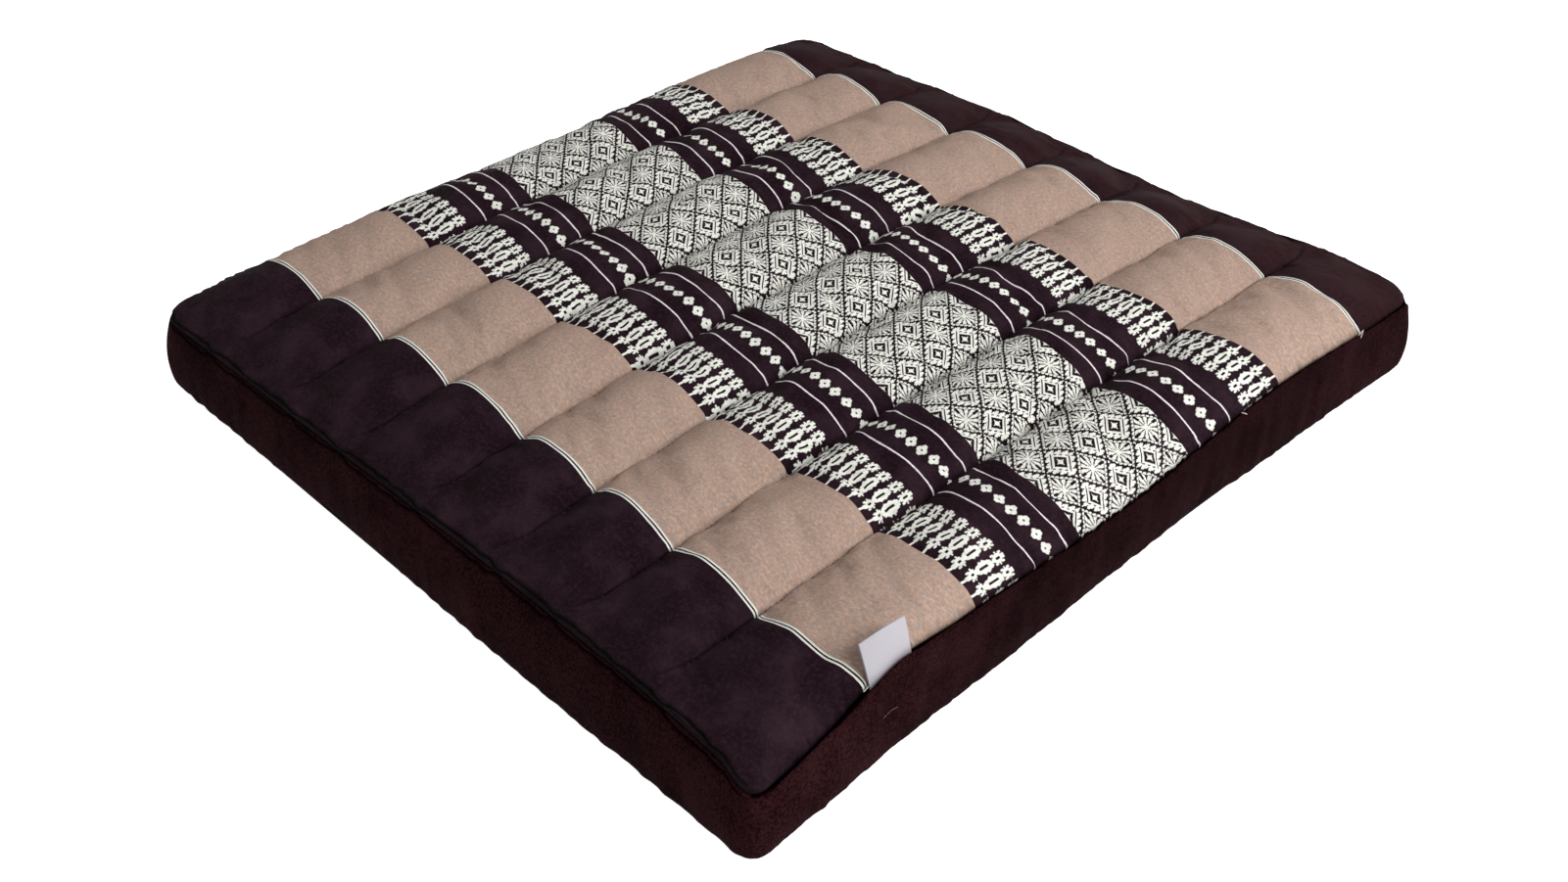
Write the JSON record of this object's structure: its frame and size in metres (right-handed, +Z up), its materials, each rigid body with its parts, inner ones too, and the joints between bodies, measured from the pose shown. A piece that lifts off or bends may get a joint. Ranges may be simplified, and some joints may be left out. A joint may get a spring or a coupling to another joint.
{
  "type": "meditation cushion",
  "caption": "Square floor cushion with a low boxed wall, sewn into filled channels under a woven patterned top panel, with a small bare tab in one seam.",
  "frame": {"origin": "on the floor under the middle of the cushion's bounding box", "axes": "+Z up, +X across the sewn channels towards the wall with the tab, +Y along the channels"},
  "size_m": [0.5142, 0.5406, 0.0783],
  "materials": {
    "woven_panel": "woven cotton with dark, beige and patterned cream bands",
    "wall_cloth": "plain dark brown cotton",
    "base_cloth": "plain dark cotton",
    "tab_satin": "white satin ribbon"
  },
  "bodies": {
    "root": {"filled_body": "woven_panel", "side_strip": "wall_cloth", "base_panel": "base_cloth", "label_tab": "tab_satin"}
  },
  "joints": []
}
